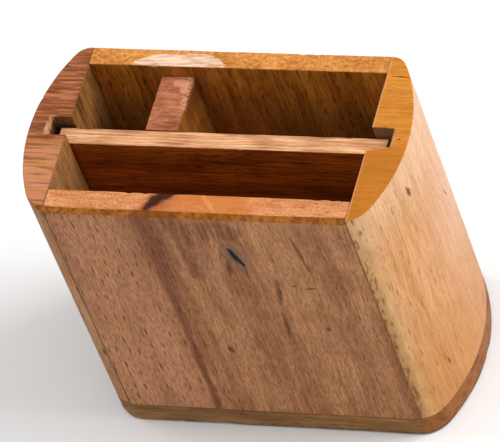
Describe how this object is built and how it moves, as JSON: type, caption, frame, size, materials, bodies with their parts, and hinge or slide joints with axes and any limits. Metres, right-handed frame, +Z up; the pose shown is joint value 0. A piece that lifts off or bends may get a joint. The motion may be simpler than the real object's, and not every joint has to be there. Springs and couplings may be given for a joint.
{
  "type": "pen holder",
  "caption": "Flat oval desk pen holder of solid wood: curved end blocks joined by flat boards, divided into compartments by lift-out dividers.",
  "frame": {"origin": "centre of the underside, where the holder stands", "axes": "+X to the right along the front face, +Y from the front to the back, +Z up"},
  "size_m": [0.112, 0.058, 0.1],
  "materials": {
    "base_board_wood": "thin satin oil, grain along X",
    "left_block_wood": "thin satin varnish, reddish, end grain on top",
    "right_block_wood": "pale satin varnish, amber end grain on top",
    "front_board_wood": "thin satin varnish, flecked, grain along Z",
    "back_board_wood": "satin varnish, grain along Z",
    "long_divider_wood": "thin satin oil, grain along X",
    "cross_divider_wood": "bare, lightly oiled, end grain on top"
  },
  "bodies": {
    "holder": {"base_board": "base_board_wood", "end_block_left": "left_block_wood", "end_block_right": "right_block_wood", "front_board": "front_board_wood", "back_board": "back_board_wood"},
    "long_divider": {"long_divider": "long_divider_wood"},
    "cross_divider": {"cross_divider": "cross_divider_wood"}
  },
  "joints": [
    {"name": "divider_lift", "type": "slide", "parent": "holder", "child": "long_divider", "axis": [0, 0, 1], "range_m": [0, 0.1]},
    {"name": "cross_lift", "type": "slide", "parent": "holder", "child": "cross_divider", "axis": [0, 0, 1], "range_m": [0, 0.1]}
  ]
}
